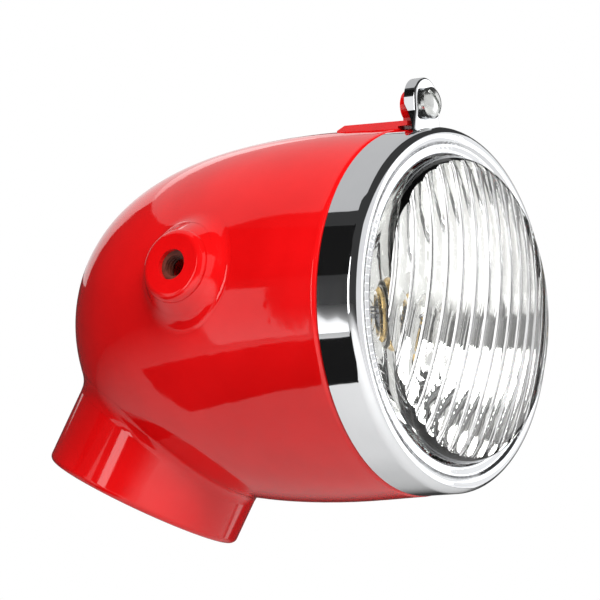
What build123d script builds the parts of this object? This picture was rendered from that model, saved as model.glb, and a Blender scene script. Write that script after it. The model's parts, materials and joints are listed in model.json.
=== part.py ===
from build123d import *
import os
from math import cos, radians, sin, sqrt

# Egg-shaped moped headlamp: a pressed steel body with a tilted bottom neck, two threaded
# side pivots, and a chromed rim that carries the fluted glass, the reflector and the bulb.
# Frame: +Z up, the lens looks along -Y, and the origin is the centre of the neck's mouth.

# ---- driving dimensions, mm; "forward" counts from the rim's rear edge towards the lens ----
RIM_RADIUS = 58.0
RIM_SHEET = 1.0
BODY_RADIUS = 59.35
BODY_LENGTH = 123.6
BODY_WALL = 1.2
BODY_WIDEST = -30.0
LAMP_HEIGHT = 58.5
RIM_REAR_Y = -103.4
COLLAR_RADIUS = 55.4
COLLAR_LENGTH = 2.5

NECK_TILT = 24.3
NECK_RADIUS = 33.75
NECK_EDGE_ROUND = 2.0
NECK_LIP_RADIUS = 27.5
NECK_BORE_RADIUS = 25.5
NECK_BORE_LENGTH = 12.0
NECK_TUBE_LENGTH = 80.0
NECK_OPENING_REACH = 77.0
NECK_COLLAR_FLANGE = 1.4
NECK_COLLAR_FLANGE_SHEET = 1.5

PIVOT_FORWARD = -49.6
PIVOT_RISE = 1.5
PIVOT_FACE = 66.0
BOSS_TOP_RADIUS = 11.8
BOSS_BASE_RADIUS = 17.0
BOSS_WALL = 1.6
BOSS_ENTRY_RADIUS = 4.86
M8_THREAD_RADIUS = 3.4
PIVOT_NUT_RADIUS = 7.5
PIVOT_NUT_LENGTH = 4.5
PIVOT_HOLE_RADIUS = 4.6

CLAMP_ANGLE = 13.0
SCREW_RADIAL = 65.8
SCREW_SHANK_RADIUS = 2.05
SCREW_HOLE_RADIUS = 2.5
SCREW_HEAD_RADIUS = 5.1
SCREW_HEAD_HEIGHT = 3.2
SCREW_SLOT = 1.3
SCREW_SLOT_DEPTH = 1.6
SCREW_SLOT_ANGLE = 35.0
SCREW_END = -1.2
WASHER_RADIUS = 4.6
WASHER_THICKNESS = 0.8
LUG_FRONT = 5.4
LUG_SHEET = 1.2
LUG_FLANGE = 3.3
EAR_FRONT = 1.4
EAR_THICKNESS = 3.0
EAR_RADIUS = 5.2
STRIP_WIDTH = 12.0
STRIP_REAR = -25.3
STRIP_TOP = 60.9
STRIP_REAR_DROP = 1.4
STRIP_REAR_RAMP = 3.0
STRIP_FRONT_DROP = 0.5
EAR_ROOT_WIDTH = 7.0
EAR_ROOT_HEIGHT = 4.0

LENS_RADIUS = 48.4
LENS_CROWN = 29.5
LENS_CAP_RADIUS = 120.0
LENS_SHOULDER = 7.7
LENS_FLANGE_RADIUS = 52.3
LENS_BACK = 6.8
LENS_SEAT = 10.6
LENS_INNER_RADIUS = 45.4
FLUTE_PITCH = 6.5
FLUTE_HEIGHT = 1.0
FLUTE_CROWN = 26.4
FLUTE_SWEEP = 126.0
FLUTE_COUNT = 14

REFLECTOR_FRONT = 5.3
REFLECTOR_RADIUS = 47.5
THROAT_RADIUS = 22.0
FOCAL_LENGTH = 15.0
REFLECTOR_SHEET = 1.0
SOCKET_RADIUS = 13.5
SOCKET_WALL = 0.8
SOCKET_END = -36.9
SOCKET_LIP = 0.9

BASE_RADIUS = 10.0
BASE_FRONT = -24.0
BASE_REAR = -36.0
BASE_SHEET = 0.6
BASE_FRONT_SHEET = 0.8
GLOBE_RADIUS = 9.0
GLOBE_CENTRE = -15.5
PIN_FORWARD = -33.0
PIN_RADIUS = 1.0
PAD_REAR = -37.8
PAD_RADIUS = 1.8
PAD_OFFSET = 4.0
HOLDER_BORE = 10.35
HOLDER_RADIUS = 11.2
PIN_ROOT = BASE_RADIUS - 0.5
PIN_REACH = HOLDER_RADIUS + 0.3
HOLDER_FRONT = -27.5
HOLDER_REAR = -52.0
BULB_PUSH = 2.0
BLADE_SHEET = 0.8
BLADE_WIDTH = 6.3
BLADE_LENGTH = 11.0
BLADE_HOLE_RADIUS = 0.8
BLADE_HOLE_FROM_END = 3.5
SLOT_TURN = 24.0
LOCK_TWIST = 25.0
HOOK_WIDTH = 24.0

# ---- frames ----
FORWARD = (0, -1, 0)
LAMP_AXIS = Axis((0, RIM_REAR_Y, LAMP_HEIGHT), FORWARD)
NECK_UP = (0, -sin(radians(NECK_TILT)), cos(radians(NECK_TILT)))
NECK_MOUTH = Plane(origin=(0, 0, 0), x_dir=(1, 0, 0), z_dir=NECK_UP)
NECK_SECTION = Plane(origin=(0, 0, 0), x_dir=(1, 0, 0), z_dir=(0, -NECK_UP[2], NECK_UP[1]))
NECK_AXIS = Axis((0, 0, 0), NECK_UP)
PIVOT_Y = RIM_REAR_Y - PIVOT_FORWARD
PIVOT_Z = LAMP_HEIGHT + PIVOT_RISE


def meridian(angle=0.0):
    """Plane through the lamp axis: local x is the radius, local y is forward.

    The angle turns it from the top towards the left side.
    """
    a = radians(angle)
    origin = (0, RIM_REAR_Y, LAMP_HEIGHT)
    return Plane(origin=origin, x_dir=(-sin(a), 0, cos(a)), z_dir=(cos(a), 0, sin(a)))


def facing(forward, angle=0.0):
    """Plane square to the lamp axis: local y is the radius at that angle, z is forward."""
    a = radians(angle)
    origin = (0, RIM_REAR_Y - forward, LAMP_HEIGHT)
    return Plane(origin=origin, x_dir=(cos(a), 0, sin(a)), z_dir=FORWARD)


def section(plane, *points):
    """Face with straight sides through the points."""
    with BuildSketch(plane) as face:
        with BuildLine():
            Polyline(*points, close=True)
        make_face()
    return face.sketch


def rectangle(plane, low, high):
    """Face of a rectangle between two corners."""
    return section(plane, low, (high[0], low[1]), high, (low[0], high[1]))


def polar(centre, radius, degrees):
    """Point on a circle."""
    a = radians(degrees)
    return (centre[0] + radius * cos(a), centre[1] + radius * sin(a))


def sector(low, high, start, sweep_angle):
    """Part of a ring round the lamp axis; low and high are opposite corners of its section.

    Angles run from the right side over the top.
    """
    face = rectangle(meridian(start - 90), low, high)
    return revolve(face, axis=LAMP_AXIS, revolution_arc=sweep_angle, mode=Mode.PRIVATE)


def finish(name, piece):
    """Label the piece and write it as its own STEP file."""
    piece.label = name
    export_step(piece, f"parts/{name}.step")


os.makedirs("parts", exist_ok=True)

# ---- body: one drawn steel shell, with a spigot that the rim slips over ----
EDGE_FORWARD = -0.4
EDGE_ROUND = 1.7
EDGE_RADIUS = RIM_RADIUS + 0.3


def body_side(inset):
    """Side line of the body from its front edge to the tip, moved in by the inset."""
    back = EDGE_FORWARD - EDGE_ROUND
    widest = BODY_RADIUS - inset
    front = EDGE_RADIUS - inset
    tip = -BODY_LENGTH + inset
    Bezier((front, back), (front + 0.3, -10), (widest, -20), (widest, BODY_WIDEST))
    Bezier((widest, BODY_WIDEST), (widest, -81 + inset), (47 - inset, tip), (0, tip))
    Polyline((0, tip), (0, back), (front, back))


with BuildPart() as body_envelope:
    with BuildSketch(meridian()):
        with BuildLine():
            body_side(0)
        make_face()
    revolve(axis=LAMP_AXIS)

with BuildPart() as body_hollow:
    with BuildSketch(meridian()):
        with BuildLine():
            body_side(BODY_WALL)
        make_face()
    revolve(axis=LAMP_AXIS)
    hollow_front = EDGE_FORWARD - EDGE_ROUND - BODY_WALL / 2
    split(bisect_by=facing(hollow_front), keep=Keep.BOTTOM)

with BuildPart() as shell:
    add(body_envelope.part)
    with BuildSketch(meridian()):
        edge_back = EDGE_FORWARD - EDGE_ROUND
        edge_side = EDGE_RADIUS - EDGE_ROUND
        with BuildLine():
            ThreePointArc(
                (edge_side, EDGE_FORWARD),
                polar((edge_side, edge_back), EDGE_ROUND, 45),
                (EDGE_RADIUS, edge_back),
            )
            Polyline(
                (EDGE_RADIUS, edge_back),
                (0, edge_back),
                (0, COLLAR_LENGTH),
                (COLLAR_RADIUS, COLLAR_LENGTH),
                (COLLAR_RADIUS, EDGE_FORWARD),
                (edge_side, EDGE_FORWARD),
            )
        make_face()
    revolve(axis=LAMP_AXIS)
    add(body_hollow.part, mode=Mode.SUBTRACT)
    with BuildSketch(facing(-5)):
        Circle(COLLAR_RADIUS - BODY_WALL)
    extrude(amount=5 + COLLAR_LENGTH, mode=Mode.SUBTRACT)
    with BuildSketch(NECK_MOUTH):
        Circle(NECK_RADIUS - BODY_WALL)
    extrude(amount=NECK_OPENING_REACH, mode=Mode.SUBTRACT)
    with BuildSketch(Plane.YZ):
        with Locations((PIVOT_Y, PIVOT_Z)):
            Circle(PIVOT_HOLE_RADIUS)
    extrude(amount=BODY_RADIUS + 2, both=True, mode=Mode.SUBTRACT)

# the shell is one pressing; its quarters are separate nodes so that its hollow stays open
for level_name, kept_level in (("upper", Keep.TOP), ("lower", Keep.BOTTOM)):
    for half_name, kept_half in (("left", Keep.BOTTOM), ("right", Keep.TOP)):
        with BuildPart() as shell_quarter:
            add(shell.part)
            split(bisect_by=Plane.YZ, keep=kept_half)
            split(bisect_by=Plane.XY.offset(PIVOT_Z), keep=kept_level)
        finish(f"shell_{level_name}_{half_name}", shell_quarter.part)

# ---- neck: a tube welded under the body, its lower edge turned in ----
with BuildPart() as neck:
    round_centre = (NECK_RADIUS - NECK_EDGE_ROUND, NECK_EDGE_ROUND)
    round_inside = NECK_EDGE_ROUND - BODY_WALL
    wall_inside = NECK_RADIUS - BODY_WALL
    with BuildSketch(NECK_SECTION):
        with BuildLine():
            Polyline(
                (NECK_RADIUS, NECK_EDGE_ROUND),
                (NECK_RADIUS, NECK_TUBE_LENGTH),
                (wall_inside, NECK_TUBE_LENGTH),
                (wall_inside, NECK_EDGE_ROUND),
            )
            ThreePointArc(
                (wall_inside, NECK_EDGE_ROUND),
                polar(round_centre, round_inside, -45),
                (round_centre[0], BODY_WALL),
            )
            Polyline(
                (round_centre[0], BODY_WALL),
                (NECK_LIP_RADIUS, BODY_WALL),
                (NECK_LIP_RADIUS, 0),
                (round_centre[0], 0),
            )
            ThreePointArc(
                (round_centre[0], 0),
                polar(round_centre, NECK_EDGE_ROUND, -45),
                (NECK_RADIUS, NECK_EDGE_ROUND),
            )
        make_face()
    revolve(axis=NECK_AXIS)
    add(body_envelope.part, mode=Mode.SUBTRACT)
    with BuildSketch(facing(0)):
        Circle(BODY_RADIUS)
    extrude(amount=60, mode=Mode.SUBTRACT)
finish("neck", neck.part.solids().sort_by(Axis.Z)[0])

with BuildPart() as neck_collar:
    with BuildSketch(NECK_MOUTH):
        Circle(NECK_LIP_RADIUS)
    extrude(amount=NECK_BORE_LENGTH)
    with BuildSketch(NECK_MOUTH.offset(BODY_WALL)):
        Circle(NECK_LIP_RADIUS + NECK_COLLAR_FLANGE)
    extrude(amount=NECK_COLLAR_FLANGE_SHEET)
    with BuildSketch(NECK_MOUTH):
        Circle(NECK_BORE_RADIUS)
    extrude(amount=NECK_BORE_LENGTH, mode=Mode.SUBTRACT)
finish("neck_collar", neck_collar.part)

# ---- pivots: a conical cup with a thin nut welded behind its face, one on each side ----
# The nut stops short of the shell, and the bolt's end goes on through the shell's hole.
CUP_ROUND = 2.6
cup_side = PIVOT_FACE - CUP_ROUND
cup_flat = BOSS_TOP_RADIUS - CUP_ROUND
cup_back = PIVOT_FACE - BOSS_WALL
cup_foot = BODY_RADIUS - 6
foot_radius = BOSS_BASE_RADIUS + 2.2

for side, side_name in ((-1, "left"), (1, "right")):
    with BuildPart() as cup:
        outwards = Plane(origin=(0, PIVOT_Y, PIVOT_Z), x_dir=(0, 0, 1), z_dir=(0, side, 0))
        with BuildSketch(outwards):
            with BuildLine():
                Polyline(
                    (BOSS_TOP_RADIUS, cup_side),
                    (foot_radius, cup_foot),
                    (foot_radius - BOSS_WALL, cup_foot),
                    (BOSS_TOP_RADIUS - BOSS_WALL, cup_side),
                    (cup_flat, cup_back),
                    (BOSS_ENTRY_RADIUS, cup_back),
                    (BOSS_ENTRY_RADIUS, PIVOT_FACE),
                    (cup_flat, PIVOT_FACE),
                )
                ThreePointArc(
                    (cup_flat, PIVOT_FACE),
                    polar((cup_flat, cup_side), CUP_ROUND, 45),
                    (BOSS_TOP_RADIUS, cup_side),
                )
            make_face()
        revolve(axis=Axis((0, PIVOT_Y, PIVOT_Z), (side, 0, 0)))
        add(body_envelope.part, mode=Mode.SUBTRACT)
    finish(f"pivot_cup_{side_name}", cup.part)

    with BuildPart() as nut:
        with BuildSketch(Plane.YZ.offset(side * cup_back)):
            with Locations((PIVOT_Y, PIVOT_Z)):
                Circle(PIVOT_NUT_RADIUS)
                Circle(M8_THREAD_RADIUS, mode=Mode.SUBTRACT)
        extrude(amount=-side * PIVOT_NUT_LENGTH)
    finish(f"pivot_nut_{side_name}", nut.part)

# ---- clamp bracket on the body: a strip along the top and a tapped ear ----
with BuildPart() as bracket_strip:
    with BuildSketch(meridian(CLAMP_ANGLE)):
        with BuildLine():
            Polyline(
                (BODY_RADIUS - 3, STRIP_REAR),
                (STRIP_TOP - STRIP_REAR_DROP, STRIP_REAR),
                (STRIP_TOP, STRIP_REAR + STRIP_REAR_RAMP),
                (STRIP_TOP - STRIP_FRONT_DROP, EAR_FRONT),
                (BODY_RADIUS - 0.5, EAR_FRONT),
                (BODY_RADIUS - 0.5, EDGE_FORWARD - EDGE_ROUND),
                (BODY_RADIUS - 3, EDGE_FORWARD - EDGE_ROUND),
                close=True,
            )
        make_face()
    extrude(amount=STRIP_WIDTH / 2, both=True)
    add(body_envelope.part, mode=Mode.SUBTRACT)
finish("bracket_strip", bracket_strip.part)

with BuildPart() as tapped_ear:
    with BuildSketch(facing(EAR_FRONT, CLAMP_ANGLE)):
        with Locations((0, SCREW_RADIAL - 0.4)):
            Circle(EAR_RADIUS)
        with Locations((0, STRIP_TOP + 0.8)):
            Rectangle(EAR_ROOT_WIDTH, EAR_ROOT_HEIGHT)
        with Locations((0, SCREW_RADIAL)):
            Circle(SCREW_HOLE_RADIUS, mode=Mode.SUBTRACT)
    extrude(amount=-EAR_THICKNESS)
    add(bracket_strip.part, mode=Mode.SUBTRACT)
finish("tapped_ear", tapped_ear.part.solids().sort_by(SortBy.VOLUME)[-1])

# ---- rim: a spun chrome ring with a rolled front and a lip that holds the glass ----
FRONT_ROUND = 3.4
round_side = RIM_RADIUS - 0.35
round_middle = (round_side - FRONT_ROUND, 10.75)
inside_round = FRONT_ROUND - RIM_SHEET
crease = (51.9, 13.0)
face_inner = (50.4, 13.4)
lip_front = 12.3
lip_edge = LENS_RADIUS + 0.4

with BuildPart() as rim:
    with BuildSketch(meridian()):
        with BuildLine():
            Line((RIM_RADIUS, 0), (round_side, round_middle[1]))
            ThreePointArc(
                (round_side, round_middle[1]),
                polar(round_middle, FRONT_ROUND, 45),
                (round_middle[0], round_middle[1] + FRONT_ROUND),
            )
            Spline(
                (round_middle[0], round_middle[1] + FRONT_ROUND),
                crease,
                face_inner,
                (lip_edge, lip_front),
                tangents=((-1, 0), (0, -1)),
            )
            Polyline(
                (lip_edge, lip_front),
                (lip_edge, LENS_SEAT),
                (lip_edge + 0.8, LENS_SEAT),
                (lip_edge + 1.4, lip_front - 0.3),
                (crease[0], crease[1] - RIM_SHEET),
                (round_middle[0], round_middle[1] + inside_round),
            )
            ThreePointArc(
                (round_middle[0], round_middle[1] + inside_round),
                polar(round_middle, inside_round, 45),
                (round_middle[0] + inside_round, round_middle[1]),
            )
            Polyline(
                (round_middle[0] + inside_round, round_middle[1]),
                (RIM_RADIUS - RIM_SHEET, 0),
                (RIM_RADIUS, 0),
            )
        make_face()
    revolve(axis=LAMP_AXIS)
finish("rim", rim.part)

with BuildPart() as rim_envelope:
    with BuildSketch(meridian()):
        with BuildLine():
            Polyline(
                (RIM_RADIUS, 0),
                (round_side, round_middle[1]),
                (round_side, 20),
                (0, 20),
                (0, 0),
                close=True,
            )
        make_face()
    revolve(axis=LAMP_AXIS)

# ---- clamp lug on the rim: a plate with a hood turned back round its sides and top ----
LUG_FOOT_HALF = 8.3
LUG_HALF = 6.5
lug_arc_centre = SCREW_RADIAL + 1.8


def lug_shape(plane, inset):
    """Plate outline: a foot that narrows to straight sides and a round top."""
    half = LUG_HALF - inset
    foot = LUG_FOOT_HALF - inset
    with BuildSketch(plane) as shape:
        with BuildLine():
            ThreePointArc(
                (half, lug_arc_centre), (0, lug_arc_centre + half), (-half, lug_arc_centre)
            )
            Polyline(
                (-half, lug_arc_centre),
                (-half, SCREW_RADIAL - 2.5),
                (-foot, RIM_RADIUS - 2),
                (foot, RIM_RADIUS - 2),
                (half, SCREW_RADIAL - 2.5),
                (half, lug_arc_centre),
            )
        make_face()
    return shape.sketch


with BuildPart() as rim_lug:
    extrude(lug_shape(facing(LUG_FRONT, CLAMP_ANGLE), 0), amount=-LUG_SHEET - LUG_FLANGE)
    fillet(rim_lug.faces().sort_by(Axis.Y)[0].edges(), radius=0.9)
    hollow = facing(LUG_FRONT - LUG_SHEET, CLAMP_ANGLE)
    extrude(lug_shape(hollow, LUG_SHEET), amount=-LUG_FLANGE - 1, mode=Mode.SUBTRACT)
    taper = section(
        meridian(CLAMP_ANGLE),
        (RIM_RADIUS - 4, LUG_FRONT - LUG_SHEET),
        (RIM_RADIUS + 1, LUG_FRONT - LUG_SHEET),
        (SCREW_RADIAL, LUG_FRONT - LUG_SHEET - LUG_FLANGE),
        (SCREW_RADIAL, LUG_FRONT - LUG_SHEET - LUG_FLANGE - 2),
        (RIM_RADIUS - 4, LUG_FRONT - LUG_SHEET - LUG_FLANGE - 2),
    )
    extrude(taper, amount=2 * LUG_FOOT_HALF, both=True, mode=Mode.SUBTRACT)
    with BuildSketch(facing(LUG_FRONT, CLAMP_ANGLE)):
        with Locations((0, SCREW_RADIAL)):
            Circle(SCREW_HOLE_RADIUS)
    extrude(amount=-2 * LUG_SHEET, mode=Mode.SUBTRACT)
    add(rim_envelope.part, mode=Mode.SUBTRACT)
finish("rim_lug", rim_lug.part.solids().sort_by(SortBy.VOLUME)[-1])

# ---- clamp screw and its washer ----
washer_front = LUG_FRONT + WASHER_THICKNESS
head_front = washer_front + SCREW_HEAD_HEIGHT
HEAD_EDGE = 1.1
head_rise = SCREW_HEAD_HEIGHT - HEAD_EDGE
head_sphere = (SCREW_HEAD_RADIUS**2 + head_rise**2) / (2 * head_rise)
head_middle = SCREW_HEAD_RADIUS / 2
head_middle_forward = head_front - head_sphere + sqrt(head_sphere**2 - head_middle**2)
screw_origin = meridian(CLAMP_ANGLE).from_local_coords((SCREW_RADIAL, 0, 0))
screw_line = Axis(screw_origin, FORWARD)
screw_section = Plane(
    origin=screw_origin, x_dir=meridian(CLAMP_ANGLE).x_dir, z_dir=meridian(CLAMP_ANGLE).z_dir
)

with BuildPart() as screw_washer:
    with BuildSketch(facing(LUG_FRONT, CLAMP_ANGLE)):
        with Locations((0, SCREW_RADIAL)):
            Circle(WASHER_RADIUS)
            Circle(SCREW_SHANK_RADIUS + 0.1, mode=Mode.SUBTRACT)
    extrude(amount=WASHER_THICKNESS)
finish("screw_washer", screw_washer.part)

with BuildPart() as rim_screw:
    with BuildSketch(screw_section):
        with BuildLine():
            Polyline(
                (0, head_front),
                (0, SCREW_END),
                (SCREW_SHANK_RADIUS - 0.5, SCREW_END),
                (SCREW_SHANK_RADIUS, SCREW_END + 0.5),
                (SCREW_SHANK_RADIUS, washer_front),
                (SCREW_HEAD_RADIUS, washer_front),
                (SCREW_HEAD_RADIUS, washer_front + HEAD_EDGE),
            )
            ThreePointArc(
                (SCREW_HEAD_RADIUS, washer_front + HEAD_EDGE),
                (head_middle, head_middle_forward),
                (0, head_front),
            )
        make_face()
    revolve(axis=screw_line)
    with BuildSketch(facing(head_front + 1, CLAMP_ANGLE)):
        with Locations((0, SCREW_RADIAL)):
            Rectangle(SCREW_SLOT, 3 * SCREW_HEAD_RADIUS, rotation=SCREW_SLOT_ANGLE)
    extrude(amount=-SCREW_SLOT_DEPTH - 1, mode=Mode.SUBTRACT)
finish("rim_screw", rim_screw.part)

# ---- hook opposite the clamp: it holds the foot of the rim inside the body's spigot ----
HOOK_HALF = 5.0
HOOK_GAP = 1.5
HOOK_REAR = -6.0
HOOK_SHEET = 0.9
hook_radius = COLLAR_RADIUS - BODY_WALL - HOOK_GAP
leg_radius = RIM_RADIUS - RIM_SHEET

with BuildPart() as rim_hook:
    hook_section = section(
        meridian(CLAMP_ANGLE + 180),
        (leg_radius, 8.5),
        (leg_radius, 3.0),
        (hook_radius, 3.0),
        (hook_radius, HOOK_REAR),
        (hook_radius - HOOK_SHEET, HOOK_REAR),
        (hook_radius - HOOK_SHEET, 3.0 + HOOK_SHEET),
        (leg_radius - HOOK_SHEET - 0.4, 3.0 + HOOK_SHEET),
        (leg_radius - HOOK_SHEET - 0.4, 8.5),
    )
    extrude(hook_section, amount=HOOK_HALF, both=True)
    add(rim.part, mode=Mode.SUBTRACT)
finish("rim_hook", rim_hook.part)

# ---- glass: a domed lens with upright flutes moulded on its inner face ----
cap_reach = LENS_CAP_RADIUS - LENS_SHOULDER
shoulder_radius = LENS_RADIUS - LENS_SHOULDER
cap_forward = LENS_CROWN - LENS_CAP_RADIUS
shoulder_forward = cap_forward + sqrt(cap_reach**2 - shoulder_radius**2)
cap_scale = LENS_CAP_RADIUS / cap_reach
cap_end = (
    shoulder_radius * cap_scale,
    cap_forward + (shoulder_forward - cap_forward) * cap_scale,
)
shoulder_middle = (
    shoulder_radius + LENS_SHOULDER * cos(radians(35)),
    shoulder_forward + LENS_SHOULDER * sin(radians(35)),
)
cap_middle = (cap_end[0] / 2, cap_forward + sqrt(LENS_CAP_RADIUS**2 - (cap_end[0] / 2) ** 2))
flute_axis_forward = FLUTE_CROWN - FLUTE_SWEEP


def flute_point(x, dip):
    """Point of the fluted line at x, in the level plane through the lamp axis."""
    return (x, flute_axis_forward + sqrt(FLUTE_SWEEP**2 - x * x) - dip)


with BuildPart() as flute_wheel:
    level = Plane(origin=(0, RIM_REAR_Y, LAMP_HEIGHT), x_dir=(1, 0, 0), z_dir=(0, 0, -1))
    first = -FLUTE_PITCH * FLUTE_COUNT / 2
    with BuildSketch(level):
        with BuildLine():
            for i in range(FLUTE_COUNT):
                x = first + i * FLUTE_PITCH
                ThreePointArc(
                    flute_point(x, 0),
                    flute_point(x + FLUTE_PITCH / 2, FLUTE_HEIGHT),
                    flute_point(x + FLUTE_PITCH, 0),
                )
            Polyline(
                flute_point(-first, 0),
                (-first, flute_axis_forward + 10),
                (first, flute_axis_forward + 10),
                flute_point(first, 0),
            )
        make_face()
    revolve(axis=Axis(facing(flute_axis_forward).origin, (1, 0, 0)))

with BuildPart() as lens_hollow:
    with BuildSketch(facing(0)):
        Circle(LENS_INNER_RADIUS)
    extrude(amount=LENS_CROWN)
    add(flute_wheel.part, mode=Mode.INTERSECT)

with BuildPart() as lens:
    with BuildSketch(meridian()):
        with BuildLine():
            Polyline(
                (0, LENS_BACK),
                (LENS_FLANGE_RADIUS, LENS_BACK),
                (LENS_FLANGE_RADIUS, LENS_SEAT),
                (LENS_RADIUS, LENS_SEAT),
                (LENS_RADIUS, shoulder_forward),
            )
            ThreePointArc((LENS_RADIUS, shoulder_forward), shoulder_middle, cap_end)
            ThreePointArc(cap_end, cap_middle, (0, LENS_CROWN))
            Line((0, LENS_CROWN), (0, LENS_BACK))
        make_face()
    revolve(axis=LAMP_AXIS)
    add(lens_hollow.part, mode=Mode.SUBTRACT)
finish("lens", lens.part)

with BuildPart() as lens_gasket:
    with BuildSketch(facing(REFLECTOR_FRONT)):
        Circle(LENS_FLANGE_RADIUS)
        Circle(REFLECTOR_RADIUS + 1, mode=Mode.SUBTRACT)
    extrude(amount=LENS_BACK - REFLECTOR_FRONT)
finish("lens_gasket", lens_gasket.part)

# ---- reflector: a parabolic bowl with a flange in front and a bulb sleeve behind ----
bowl_vertex = REFLECTOR_FRONT - REFLECTOR_RADIUS**2 / (4 * FOCAL_LENGTH)


def bowl(radius, back=0.0):
    """Point of the parabola at that radius, moved backwards."""
    return (radius, bowl_vertex + radius**2 / (4 * FOCAL_LENGTH) - back)


def bowl_curve(inner, outer, back=0.0):
    """Exact parabola between two radii as a quadratic Bezier curve."""
    middle = (inner + outer) / 2
    handle = bowl(inner, back)[1] + inner / (2 * FOCAL_LENGTH) * (outer - inner) / 2
    Bezier(bowl(inner, back), (middle, handle), bowl(outer, back))


flange_back = REFLECTOR_FRONT - REFLECTOR_SHEET
bowl_back = 1.6
sleeve_inside = SOCKET_RADIUS - SOCKET_WALL

with BuildPart() as reflector:
    with BuildSketch(meridian()):
        with BuildLine():
            bowl_curve(THROAT_RADIUS, REFLECTOR_RADIUS)
            Polyline(
                bowl(REFLECTOR_RADIUS),
                (LENS_FLANGE_RADIUS, REFLECTOR_FRONT),
                (LENS_FLANGE_RADIUS, flange_back),
                (REFLECTOR_RADIUS, flange_back),
                bowl(REFLECTOR_RADIUS, bowl_back),
            )
            bowl_curve(THROAT_RADIUS, REFLECTOR_RADIUS, bowl_back)
            Line(bowl(THROAT_RADIUS, bowl_back), bowl(THROAT_RADIUS))
        make_face()
    revolve(axis=LAMP_AXIS)
finish("reflector", reflector.part)

# the bowl's throat round the bulb goes on from the same parabola
with BuildPart() as reflector_throat:
    with BuildSketch(meridian()):
        with BuildLine():
            bowl_curve(SOCKET_RADIUS, THROAT_RADIUS)
            Line(bowl(THROAT_RADIUS), bowl(THROAT_RADIUS, bowl_back))
            bowl_curve(SOCKET_RADIUS, THROAT_RADIUS, bowl_back)
            Line(bowl(SOCKET_RADIUS, bowl_back), bowl(SOCKET_RADIUS))
        make_face()
    revolve(axis=LAMP_AXIS)
finish("reflector_throat", reflector_throat.part)

# ---- bulb sleeve: a ring set into the bowl, with a lip that the holder's hooks catch ----
with BuildPart() as bulb_sleeve:
    sleeve_face = section(
        meridian(),
        bowl(sleeve_inside),
        bowl(SOCKET_RADIUS),
        (SOCKET_RADIUS, SOCKET_END + SOCKET_LIP),
        (SOCKET_RADIUS + 1.1, SOCKET_END + SOCKET_LIP),
        (SOCKET_RADIUS + 1.1, SOCKET_END),
        (sleeve_inside, SOCKET_END),
    )
    revolve(sleeve_face, axis=LAMP_AXIS)
    for hook_at in (90, 270):
        gap_start = hook_at - LOCK_TWIST - HOOK_WIDTH / 2 - 3
        gap = ((SOCKET_RADIUS, SOCKET_END), (SOCKET_RADIUS + 2, SOCKET_END + SOCKET_LIP))
        add(sector(*gap, gap_start, HOOK_WIDTH + 6), mode=Mode.SUBTRACT)
finish("bulb_sleeve", bulb_sleeve.part)

# ---- spring clips: they press the reflector, gasket and glass against the rim's lip ----
CLIP_HALF = 6.0
clip_outside = LENS_FLANGE_RADIUS + 1.0
clip_section = [
    (clip_outside + 2.6, 12.2),
    (clip_outside + 2.6, 11.4),
    (clip_outside, 9.8),
    (clip_outside, flange_back - 0.9),
    (clip_outside - 3.6, flange_back - 0.9),
    (clip_outside - 3.6, flange_back),
    (clip_outside - 0.7, flange_back),
    (clip_outside - 0.7, 10.4),
    (clip_outside + 1.0, 12.2),
]
with BuildPart() as reflector_clips:
    for quarter in range(4):
        clip_plane = meridian(CLAMP_ANGLE + 45 + 90 * quarter)
        extrude(section(clip_plane, *clip_section), amount=CLIP_HALF, both=True)
    add(rim.part, mode=Mode.SUBTRACT)
    add(lens.part, mode=Mode.SUBTRACT)
    add(reflector.part, mode=Mode.SUBTRACT)
    add(lens_gasket.part, mode=Mode.SUBTRACT)
finish("reflector_clips", reflector_clips.part)

# ---- bulb: brass cap with two pins, glass globe, two filaments and two solder pads ----
glass_neck = 7.2
globe_wall = 0.7
neck_meets = GLOBE_CENTRE - sqrt(GLOBE_RADIUS**2 - glass_neck**2)
globe_inside = GLOBE_RADIUS - globe_wall
neck_inside = glass_neck - globe_wall
neck_meets_inside = GLOBE_CENTRE - sqrt(globe_inside**2 - neck_inside**2)

with BuildPart() as bulb_cap:
    with BuildSketch(facing(BASE_REAR)):
        Circle(BASE_RADIUS)
    extrude(amount=BASE_FRONT - BASE_REAR)
    with BuildSketch(facing(BASE_REAR)):
        Circle(BASE_RADIUS - BASE_SHEET)
    extrude(amount=BASE_FRONT - BASE_REAR - BASE_FRONT_SHEET, mode=Mode.SUBTRACT)
    with BuildSketch(facing(BASE_REAR)):
        Circle(glass_neck + 0.2)
    extrude(amount=BASE_FRONT - BASE_REAR, mode=Mode.SUBTRACT)
    for side in (-1, 1):
        with BuildSketch(Plane.YZ.offset(side * PIN_ROOT)):
            with Locations((RIM_REAR_Y - PIN_FORWARD, LAMP_HEIGHT)):
                Circle(PIN_RADIUS)
        extrude(amount=side * (PIN_REACH - PIN_ROOT))
finish("bulb_cap", bulb_cap.part)

with BuildPart() as bulb_glass:
    with BuildSketch(meridian()):
        with BuildLine():
            ThreePointArc(
                (0, GLOBE_CENTRE + GLOBE_RADIUS),
                (GLOBE_RADIUS, GLOBE_CENTRE),
                (glass_neck, neck_meets),
            )
            Polyline(
                (glass_neck, neck_meets),
                (glass_neck, BASE_FRONT - 3),
                (neck_inside, BASE_FRONT - 3),
                (neck_inside, neck_meets_inside),
            )
            ThreePointArc(
                (neck_inside, neck_meets_inside),
                (globe_inside, GLOBE_CENTRE),
                (0, GLOBE_CENTRE + globe_inside),
            )
            Line((0, GLOBE_CENTRE + globe_inside), (0, GLOBE_CENTRE + GLOBE_RADIUS))
        make_face()
    revolve(axis=LAMP_AXIS)
finish("bulb_glass", bulb_glass.part)

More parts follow.
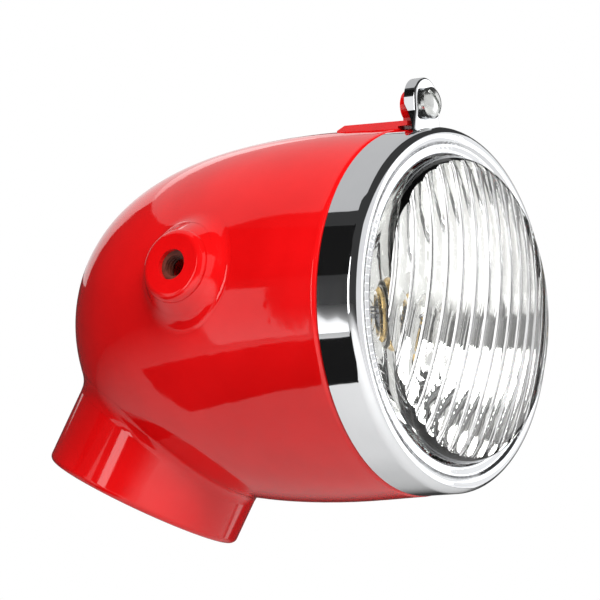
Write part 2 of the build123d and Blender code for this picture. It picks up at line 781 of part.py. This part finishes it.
WIRE_RADIUS = 0.35
FILAMENT_FORWARD = bowl_vertex + FOCAL_LENGTH
STEM_FRONT = -23.0
with BuildPart() as bulb_filaments:
    with BuildSketch(facing(BASE_REAR + 1)):
        Circle(3.4)
    extrude(amount=STEM_FRONT - BASE_REAR - 1)
    for rise, forward in ((0.0, FILAMENT_FORWARD), (3.0, FILAMENT_FORWARD + 3)):
        with BuildSketch(facing(STEM_FRONT - 2)):
            with Locations((-2.2, rise * 0.7), (2.2, rise * 0.7)):
                Circle(WIRE_RADIUS)
        extrude(amount=forward - STEM_FRONT + 2)
        with BuildSketch(Plane.YZ.offset(-3.0)):
            with Locations((RIM_REAR_Y - forward, LAMP_HEIGHT + rise * 0.7)):
                Circle(WIRE_RADIUS + 0.2)
        extrude(amount=6.0)
finish("bulb_filaments", bulb_filaments.part)

with BuildPart() as bulb_insulator:
    with BuildSketch(facing(BASE_REAR - 1)):
        Circle(BASE_RADIUS - BASE_SHEET)
    extrude(amount=2)
finish("bulb_insulator", bulb_insulator.part)

with BuildPart() as bulb_pads:
    with BuildSketch(facing(BASE_REAR - 1)):
        with Locations((-PAD_OFFSET, 0), (PAD_OFFSET, 0)):
            Circle(PAD_RADIUS)
    extrude(amount=PAD_REAR - BASE_REAR + 1)
finish("bulb_pads", bulb_pads.part)

# ---- bulb holder: a sleeve that twists onto the reflector and takes the bulb's two pins ----
sleeve_lip_front = SOCKET_END + SOCKET_LIP
lock_flange = SOCKET_END - 1.2
lock_reach = SOCKET_RADIUS + 2.3
slot_half = 7.0
slot_rear = PIN_FORWARD - BULB_PUSH - PIN_RADIUS - 0.4
slot_front = PIN_FORWARD + PIN_RADIUS + 0.15
slot_passage = PIN_FORWARD - BULB_PUSH + PIN_RADIUS + 0.2

with BuildPart() as holder_sleeve:
    with BuildSketch(facing(HOLDER_REAR)):
        Circle(HOLDER_RADIUS)
    extrude(amount=HOLDER_FRONT - HOLDER_REAR)
    with BuildSketch(facing(lock_flange)):
        Circle(lock_reach)
    extrude(amount=0.9)
    for hook_at in (90, 270):
        start = hook_at - HOOK_WIDTH / 2
        arm = ((lock_reach - 0.8, lock_flange), (lock_reach, sleeve_lip_front + 1.1))
        tip = ((SOCKET_RADIUS + 0.3, sleeve_lip_front + 0.3), (lock_reach, sleeve_lip_front + 1.1))
        add(sector(*arm, start, HOOK_WIDTH))
        add(sector(*tip, start, HOOK_WIDTH))
    with BuildSketch(facing(HOLDER_REAR)):
        Circle(HOLDER_BORE)
    extrude(amount=HOLDER_FRONT - HOLDER_REAR, mode=Mode.SUBTRACT)
    for pin_at in (0, 180):
        start = pin_at - slot_half
        inner, outer = HOLDER_BORE - 1, HOLDER_RADIUS + 0.5
        notch = ((inner, slot_rear), (outer, slot_front))
        passage = ((inner, slot_rear), (outer, slot_passage))
        entry = ((inner, slot_rear), (outer, HOLDER_FRONT + 1))
        add(sector(*notch, start, 2 * slot_half), mode=Mode.SUBTRACT)
        add(sector(*passage, start, SLOT_TURN + 2 * slot_half), mode=Mode.SUBTRACT)
        add(sector(*entry, start + SLOT_TURN, 2 * slot_half), mode=Mode.SUBTRACT)
finish("holder_sleeve", holder_sleeve.part)

STUD_RADIUS = 1.5
STUD_LENGTH = 5.4
CARRIER_FRONT = -39.6
CARRIER_THICKNESS = 2.0
carrier_rear = CARRIER_FRONT - CARRIER_THICKNESS
plate_front = HOLDER_REAR + 2.0

with BuildPart() as contact_carrier:
    with BuildSketch(facing(carrier_rear)):
        Circle(HOLDER_BORE - 0.45)
        with Locations((-PAD_OFFSET, 0), (PAD_OFFSET, 0)):
            Circle(STUD_RADIUS, mode=Mode.SUBTRACT)
    extrude(amount=CARRIER_THICKNESS)
finish("contact_carrier", contact_carrier.part)

with BuildPart() as contact_studs:
    with BuildSketch(facing(PAD_REAR)):
        with Locations((-PAD_OFFSET, 0), (PAD_OFFSET, 0)):
            Circle(STUD_RADIUS)
    extrude(amount=-STUD_LENGTH)
finish("contact_studs", contact_studs.part)

SPRING_RADIUS = 7.4
SPRING_WIRE = 0.4
SPRING_TURNS = 3
spring_front = carrier_rear - SPRING_WIRE
spring_length = spring_front - SPRING_WIRE - 0.3 - BULB_PUSH - plate_front
with BuildPart() as contact_spring:
    with BuildLine():
        coil = Helix(
            pitch=spring_length / SPRING_TURNS,
            height=spring_length,
            radius=SPRING_RADIUS,
            center=facing(spring_front).origin,
            direction=(0, 1, 0),
        )
    with BuildSketch(Plane(origin=coil @ 0, z_dir=coil % 0)):
        Circle(SPRING_WIRE)
    sweep(path=coil, is_frenet=True)
finish("contact_spring", contact_spring.part)

with BuildPart() as terminal_plate:
    with BuildSketch(facing(HOLDER_REAR)):
        Circle(HOLDER_BORE)
        with Locations((-PAD_OFFSET, 0), (PAD_OFFSET, 0)):
            Rectangle(BLADE_SHEET, BLADE_WIDTH, mode=Mode.SUBTRACT)
    extrude(amount=plate_front - HOLDER_REAR)
finish("terminal_plate", terminal_plate.part)

with BuildPart() as terminal_blades:
    with BuildSketch(facing(plate_front)):
        with Locations((-PAD_OFFSET, 0), (PAD_OFFSET, 0)):
            Rectangle(BLADE_SHEET, BLADE_WIDTH)
    extrude(amount=-BLADE_LENGTH)
    with BuildSketch(Plane.YZ):
        with Locations((RIM_REAR_Y - plate_front + BLADE_LENGTH - BLADE_HOLE_FROM_END, LAMP_HEIGHT)):
            Circle(BLADE_HOLE_RADIUS)
    extrude(amount=2 * PAD_OFFSET, both=True, mode=Mode.SUBTRACT)
finish("terminal_blades", terminal_blades.part)
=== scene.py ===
import json
from math import cos, pi, radians, sin

import bmesh
import bpy
from mathutils import Matrix, Vector
from mathutils.bvhtree import BVHTree


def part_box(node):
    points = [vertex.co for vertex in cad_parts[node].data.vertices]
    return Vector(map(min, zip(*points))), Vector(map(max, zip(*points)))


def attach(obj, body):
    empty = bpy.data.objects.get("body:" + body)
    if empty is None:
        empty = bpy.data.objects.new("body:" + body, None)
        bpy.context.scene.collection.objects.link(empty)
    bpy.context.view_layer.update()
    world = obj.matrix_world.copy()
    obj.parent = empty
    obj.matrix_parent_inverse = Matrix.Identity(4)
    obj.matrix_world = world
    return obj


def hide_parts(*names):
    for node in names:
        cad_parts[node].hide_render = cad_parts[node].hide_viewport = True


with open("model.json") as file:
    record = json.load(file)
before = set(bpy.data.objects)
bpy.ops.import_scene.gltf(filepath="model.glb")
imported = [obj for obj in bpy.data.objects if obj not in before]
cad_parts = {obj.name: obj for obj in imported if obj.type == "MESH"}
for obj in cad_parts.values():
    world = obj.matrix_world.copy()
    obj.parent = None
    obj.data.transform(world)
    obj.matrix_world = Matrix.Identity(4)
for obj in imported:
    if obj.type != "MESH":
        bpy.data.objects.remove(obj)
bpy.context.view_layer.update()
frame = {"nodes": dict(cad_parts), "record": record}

nodes = frame["nodes"]

# ---- places worked out from the frame ----
rim_low, rim_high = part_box("rim")
LAMP_CENTRE = Vector((0, rim_high.y, (rim_low.z + rim_high.z) / 2))

SHELL_NODES = ("shell_upper_left", "shell_upper_right", "shell_lower_left", "shell_lower_right")
nut_low, nut_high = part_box("pivot_nut_left")
CUT_HEIGHT = (nut_low.z + nut_high.z) / 2

# ---- dimensions of the pieces made here, in metres ----
NECK_TILT = radians(24.3)
NECK_RADIUS = 0.03375
CUP_TOP_RADIUS = 0.0118
CUP_TOP_REACH = 0.0634
CUP_SPREAD = 7.4 / 10.05  # radius gained per length towards the shell
THREAD_PITCH = 0.00125
THREAD_MINOR = 0.0034
THREAD_MAJOR = 0.0040
THREAD_STEEPNESS = 2.4
NECK_WELD = 0.0032
CUP_WELD = 0.0030
WELD_LIFT = 0.00006
WELD_BENDS = 7
WELD_PHASE = 0.37  # keeps the rays off the planes where the shell's nodes meet
CORNER_TRIES = 12
RAY_START = 0.2
CUT_TOLERANCE = 2e-6
JOIN_DISTANCE = 5e-6
SHARP_ANGLE = radians(32)

# ---- camera: low, in front and to the lamp's left ----
CAMERA_PLACE = Vector((-0.7437, -0.5921, -0.1589))
CAMERA_AIM = Vector((0.0, -0.0562, 0.0654))
CAMERA_ROLL = 5.56
CAMERA_LENS = 173.8
FLOOR_HEIGHT = -0.40


def add_camera():
    """Camera at the photograph's angle, turned about its own line of sight by the roll."""
    data = bpy.data.cameras.new("camera")
    data.lens = CAMERA_LENS
    data.sensor_width = 36
    camera = bpy.data.objects.new("camera", data)
    bpy.context.scene.collection.objects.link(camera)
    turn = (CAMERA_AIM - CAMERA_PLACE).to_track_quat("-Z", "Y").to_matrix().to_4x4()
    roll = Matrix.Rotation(radians(CAMERA_ROLL), 4, "Z")
    camera.matrix_world = Matrix.Translation(CAMERA_PLACE) @ turn @ roll
    bpy.context.scene.camera = camera


# ---- materials ----
class Finish:
    """A material under construction, with short ways to add and join its nodes."""

    def __init__(self, name, **sockets):
        self.material = bpy.data.materials.new(name)
        self.material.use_nodes = True
        self.tree = self.material.node_tree
        self.shader = self.tree.nodes["Principled BSDF"]
        self.place = self.tree.nodes.new("ShaderNodeTexCoord").outputs["Object"]
        for socket, value in sockets.items():
            self.shader.inputs[socket.replace("_", " ")].default_value = value

    def noise(self, size, detail=3.0, stretch=(1, 1, 1)):
        """Noise whose features are about that many metres across."""
        mapping = self.tree.nodes.new("ShaderNodeMapping")
        mapping.inputs["Scale"].default_value = stretch
        self.tree.links.new(self.place, mapping.inputs["Vector"])
        noise = self.tree.nodes.new("ShaderNodeTexNoise")
        noise.inputs["Scale"].default_value = 1 / size
        noise.inputs["Detail"].default_value = detail
        self.tree.links.new(mapping.outputs["Vector"], noise.inputs["Vector"])
        return noise.outputs["Fac"]

    def colour(self, source, low, high):
        """Base colour that runs from low to high with the source."""
        ramp = self.tree.nodes.new("ShaderNodeValToRGB")
        ramp.color_ramp.elements[0].position = 0.3
        ramp.color_ramp.elements[1].position = 0.7
        ramp.color_ramp.elements[0].color = (*low, 1)
        ramp.color_ramp.elements[1].color = (*high, 1)
        self.tree.links.new(source, ramp.inputs["Fac"])
        self.tree.links.new(ramp.outputs["Color"], self.shader.inputs["Base Color"])

    def roughness(self, source, low, high):
        """Roughness that runs from low to high with the source."""
        spread = self.tree.nodes.new("ShaderNodeMapRange")
        spread.inputs["From Min"].default_value = 0.3
        spread.inputs["From Max"].default_value = 0.7
        spread.inputs["To Min"].default_value = low
        spread.inputs["To Max"].default_value = high
        self.tree.links.new(source, spread.inputs["Value"])
        self.tree.links.new(spread.outputs["Result"], self.shader.inputs["Roughness"])

    def bump(self, source, height):
        """Relief of that many metres."""
        bump = self.tree.nodes.new("ShaderNodeBump")
        bump.inputs["Distance"].default_value = height
        self.tree.links.new(source, bump.inputs["Height"])
        self.tree.links.new(bump.outputs["Normal"], self.shader.inputs["Normal"])


def red_enamel():
    """Thick glossy enamel with a faint orange peel."""
    f = Finish("red_enamel", Specular_IOR_Level=0.5)
    f.colour(f.noise(0.03), (0.52, 0.0025, 0.003), (0.62, 0.004, 0.005))
    f.roughness(f.noise(0.008), 0.045, 0.08)
    f.bump(f.noise(0.0022, 2.0), 1.5e-6)
    return f.material


def metal(name, low, high, rough, grain, relief=0.0, stretch=(1, 1, 1)):
    """Bare or plated metal: tint and gloss vary with a grain of that size."""
    f = Finish(name, Metallic=1.0)
    source = f.noise(grain, 5.0, stretch)
    f.colour(source, low, high)
    f.roughness(source, *rough)
    if relief:
        f.bump(source, relief)
    return f.material


def glass(name, low, high, rough):
    """Clear glass with a faint tint that drifts across it."""
    f = Finish(name, Transmission_Weight=1.0, IOR=1.5)
    source = f.noise(0.02)
    f.colour(source, low, high)
    f.roughness(source, *rough)
    return f.material


def solid(name, low, high, rough, grain, relief, **sockets):
    """Rubber, plastic, laminate or fused glass."""
    f = Finish(name, **sockets)
    source = f.noise(grain, 6.0)
    f.colour(source, low, high)
    f.roughness(source, *rough)
    f.bump(source, relief)
    return f.material


finishes = {
    "red_enamel": red_enamel(),
    "chrome_plate": metal("chrome_plate", (0.74, 0.75, 0.77), (0.80, 0.81, 0.83), (0.025, 0.05), 0.02),
    "zinc_plate": metal("zinc_plate", (0.62, 0.63, 0.62), (0.74, 0.75, 0.74), (0.14, 0.28), 0.002, 4e-6),
    "primed_steel": solid(
        "primed_steel", (0.05, 0.012, 0.008), (0.13, 0.03, 0.018), (0.35, 0.6), 0.002, 2e-5
    ),
    "plated_steel": metal(
        "plated_steel", (0.46, 0.45, 0.42), (0.60, 0.58, 0.53), (0.28, 0.42), 0.002, 8e-6
    ),
    "spring_steel": metal(
        "spring_steel", (0.30, 0.30, 0.31), (0.44, 0.44, 0.45), (0.25, 0.4), 0.001, 4e-6
    ),
    "brass_parts": metal(
        "brass_parts", (0.58, 0.40, 0.16), (0.74, 0.55, 0.26), (0.18, 0.34), 0.003, 5e-6
    ),
    "mirror_coat": metal("mirror_coat", (0.84, 0.84, 0.83), (0.90, 0.90, 0.89), (0.02, 0.06), 0.015),
    "tungsten": metal("tungsten", (0.22, 0.22, 0.24), (0.36, 0.36, 0.38), (0.3, 0.5), 0.0005, 3e-6),
    "solder": metal("solder", (0.52, 0.52, 0.53), (0.68, 0.68, 0.68), (0.25, 0.45), 0.001, 2e-5),
    "lens_glass": glass("lens_glass", (0.965, 0.97, 0.965), (0.99, 0.99, 0.985), (0.0, 0.01)),
    "bulb_envelope": glass("bulb_envelope", (0.98, 0.98, 0.97), (1.0, 1.0, 0.99), (0.0, 0.01)),
    "rubber_seal": solid(
        "rubber_seal", (0.015, 0.015, 0.015), (0.035, 0.035, 0.034), (0.6, 0.8), 0.001, 2e-5
    ),
    "phenolic": solid("phenolic", (0.10, 0.035, 0.015), (0.20, 0.08, 0.035), (0.4, 0.6), 0.0008, 1e-5),
    "black_glass": solid(
        "black_glass", (0.012, 0.012, 0.014), (0.03, 0.03, 0.034), (0.08, 0.2), 0.004, 8e-6
    ),
}
for part in frame["record"]["subparts"]:
    piece = nodes[part["node"]]
    piece.data.materials.clear()
    piece.data.materials.append(finishes[part["material_slot"]])


# ---- pieces made here: the seamless shell, the cut threads and the welds ----
def smooth(mesh):
    """Smooth shading that keeps the real edges sharp."""
    mesh.shade_smooth()
    mesh.set_sharp_from_angle(angle=SHARP_ANGLE)


def body_mesh(name, vertices, faces, slot_name):
    """Smooth piece that rides on the lamp body."""
    mesh = bpy.data.meshes.new(name)
    mesh.from_pydata([tuple(v) for v in vertices], [], faces)
    mesh.materials.append(finishes[slot_name])
    smooth(mesh)
    piece = bpy.data.objects.new(name, mesh)
    bpy.context.scene.collection.objects.link(piece)
    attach(piece, "lamp_body")
    return piece


def triangles(*names):
    """Vertices and faces of CAD nodes together, in the row frame."""
    vertices, faces = [], []
    for name in names:
        node = nodes[name]
        first = len(vertices)
        vertices += [node.matrix_world @ v.co for v in node.data.vertices]
        faces += [[first + i for i in f.vertices] for f in node.data.polygons]
    return vertices, faces


def whole_shell():
    """The pressing in one piece: its quarters joined, without the faces of the cuts."""
    vertices, faces = triangles(*SHELL_NODES)
    faces = [f for f in faces if max(abs(vertices[i].x) for i in f) > CUT_TOLERANCE]
    faces = [f for f in faces if max(abs(vertices[i].z - CUT_HEIGHT) for i in f) > CUT_TOLERANCE]
    piece = body_mesh("shell_pressing", vertices, faces, "red_enamel")
    joined = bmesh.new()
    joined.from_mesh(piece.data)
    bmesh.ops.remove_doubles(joined, verts=joined.verts, dist=JOIN_DISTANCE)
    joined.to_mesh(piece.data)
    joined.free()
    smooth(piece.data)
    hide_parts(*SHELL_NODES)


def threaded_nut(node_name):
    """Weld nut with its helical thread cut between the minor and major radius."""
    low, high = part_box(node_name)
    middle = (low + high) / 2
    around, along = 72, 48
    vertices, faces = [], []
    for i in range(along + 1):
        x = low.x + (high.x - low.x) * i / along
        for j in range(around):
            a = 2 * pi * j / around
            phase = ((x - low.x) / THREAD_PITCH - j / around) % 1
            depth = min(1, THREAD_STEEPNESS * abs(2 * phase - 1))
            r = THREAD_MAJOR - (THREAD_MAJOR - THREAD_MINOR) * depth
            vertices.append((x, middle.y + r * cos(a), middle.z + r * sin(a)))
    for x in (low.x, high.x):
        for j in range(around):
            a = 2 * pi * j / around
            r = (high.z - low.z) / 2
            vertices.append((x, middle.y + r * cos(a), middle.z + r * sin(a)))
    rings = [around * i for i in range(along + 1)]
    rings = [around * (along + 1), *rings, around * (along + 2), around * (along + 1)]
    for first, second in zip(rings, rings[1:]):
        for j in range(around):
            k = (j + 1) % around
            faces.append((first + j, first + k, second + k, second + j))
    piece = body_mesh(node_name + "_thread", vertices, faces, "primed_steel")
    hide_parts(node_name)


def weld(name, origin, axis, wall, first_radius, width, steps=144):
    """Concave bead where a tube or cone with that wall radius meets the shell."""
    side = axis.orthogonal().normalized()
    other = axis.cross(side)
    vertices, faces = [], []

    def shell_height(radial, radius):
        start = origin + radial * radius - axis * RAY_START
        hit = shell_surface.ray_cast(start, axis)
        return (hit[0] - origin).dot(axis)

    for i in range(steps):
        a = 2 * pi * (i + WELD_PHASE) / steps
        radial = side * cos(a) + other * sin(a)
        radius = first_radius
        for _ in range(CORNER_TRIES):
            height = shell_height(radial, radius)
            radius = wall(height)
        corner = origin + radial * radius + axis * height
        up_wall = origin + radial * (wall(height - width) + WELD_LIFT) + axis * (height - width)
        out = radius + width
        on_shell = origin + radial * out + axis * (shell_height(radial, out) - WELD_LIFT)
        for j in range(WELD_BENDS + 1):
            t = j / WELD_BENDS
            vertices.append(up_wall * (1 - t) ** 2 + corner * 2 * t * (1 - t) + on_shell * t**2)
    ring = WELD_BENDS + 1
    for i in range(steps):
        k = (i + 1) % steps
        for j in range(WELD_BENDS):
            faces.append((i * ring + j, k * ring + j, k * ring + j + 1, i * ring + j + 1))
    return body_mesh(name, vertices, faces, "red_enamel")


shell_surface = BVHTree.FromPolygons(*triangles(*SHELL_NODES))
whole_shell()
threaded_nut("pivot_nut_left")
threaded_nut("pivot_nut_right")
neck_axis = Vector((0, -sin(NECK_TILT), cos(NECK_TILT)))
weld("neck_weld", Vector((0, 0, 0)), neck_axis, lambda height: NECK_RADIUS, NECK_RADIUS, NECK_WELD)
for side_name, sign in (("left", -1), ("right", 1)):
    low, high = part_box("pivot_nut_" + side_name)
    pivot = Vector((0, (low.y + high.y) / 2, (low.z + high.z) / 2))
    weld(
        "cup_weld_" + side_name,
        pivot,
        Vector((-sign, 0, 0)),
        lambda height: CUP_TOP_RADIUS + (CUP_TOP_REACH + height) * CUP_SPREAD,
        CUP_TOP_RADIUS,
        CUP_WELD,
    )


# ---- studio: pale floor, white surround, softboxes and dark flags ----
def direction(azimuth, elevation):
    """Unit vector from the lamp; azimuth 0 is in front of the glass and 90 is at its right."""
    a, e = radians(azimuth), radians(elevation)
    return Vector((sin(a) * cos(e), -cos(a) * cos(e), sin(e)))


def facing_lamp(azimuth, elevation, distance, front):
    """Placement at that direction with the named local axis towards the lamp."""
    away = direction(azimuth, elevation)
    turn = (-away).to_track_quat(front, "Y").to_matrix().to_4x4()
    return Matrix.Translation(LAMP_CENTRE + away * distance) @ turn


def plain_card(name, placement, width, height, colour):
    """Flat matt card that belongs to the studio."""
    mesh = bpy.data.meshes.new(name)
    w, h = width / 2, height / 2
    mesh.from_pydata([(-w, -h, 0), (w, -h, 0), (w, h, 0), (-w, h, 0)], [], [(0, 1, 2, 3)])
    card = bpy.data.objects.new(name, mesh)
    bpy.context.scene.collection.objects.link(card)
    card.matrix_world = placement
    material = bpy.data.materials.new(name)
    material.use_nodes = True
    shader = material.node_tree.nodes["Principled BSDF"]
    shader.inputs["Base Color"].default_value = (*colour, 1)
    shader.inputs["Roughness"].default_value = 1.0
    shader.inputs["Specular IOR Level"].default_value = 0.0
    mesh.materials.append(material)
    return card


def flag(name, azimuth, elevation, distance, width, height):
    """Dark card that shows only in reflections, and throws no shadow."""
    placement = facing_lamp(azimuth, elevation, distance, "Z")
    card = plain_card(name, placement, width, height, (0.01, 0.01, 0.01))
    card.visible_camera = False
    card.visible_diffuse = False
    card.visible_shadow = False
    card.visible_transmission = False


def softbox(name, azimuth, elevation, distance, width, height, radiance, mirrored=True):
    """Rectangular light aimed at the lamp; radiance is how white it looks where it is mirrored."""
    data = bpy.data.lights.new(name, "AREA")
    data.shape = "RECTANGLE"
    data.size = width
    data.size_y = height
    data.energy = radiance * pi * width * height
    light = bpy.data.objects.new(name, data)
    bpy.context.scene.collection.objects.link(light)
    light.matrix_world = facing_lamp(azimuth, elevation, distance, "-Z")
    light.visible_camera = False
    light.visible_glossy = mirrored


def surround(seen, felt):
    """White background for the camera, a dark room for light and reflections."""
    world = bpy.data.worlds.new("surround")
    world.use_nodes = True
    tree = world.node_tree
    background = tree.nodes["Background"]
    background.inputs["Color"].default_value = (1, 1, 1, 1)
    path = tree.nodes.new("ShaderNodeLightPath")
    level = tree.nodes.new("ShaderNodeMapRange")
    level.inputs["To Min"].default_value = felt
    level.inputs["To Max"].default_value = seen
    tree.links.new(path.outputs["Is Camera Ray"], level.inputs["Value"])
    tree.links.new(level.outputs["Result"], background.inputs["Strength"])
    bpy.context.scene.world = world


add_camera()
bpy.context.scene.view_settings.view_transform = "Standard"
surround(1.0, 0.05)
plain_card("floor", Matrix.Translation((0, 0, FLOOR_HEIGHT)), 6, 6, (0.85, 0.85, 0.84))
softbox("key", -50, 34, 1.3, 0.9, 0.9, 11.0, mirrored=False)
softbox("fill", -72, -22, 1.2, 0.6, 0.5, 1.6, mirrored=False)
softbox("side_window", -126, -9, 1.1, 0.24, 0.50, 1.0)
softbox("edge_strip", -107, 2, 1.1, 0.18, 0.60, 4.0)
softbox("ceiling", 178, 62, 1.2, 1.7, 1.1, 0.55)
softbox("back_edge", 148, 27, 1.2, 0.7, 0.5, 0.9)
softbox("front_right", 58, 14, 1.3, 1.5, 1.5, 1.0)
softbox("front_wall", 14, 2, 1.5, 3.0, 2.6, 0.85)
flag("flag_high", -127, 21, 0.9, 0.62, 0.42)
flag("flag_low", -130, -37, 0.62, 0.60, 0.27)
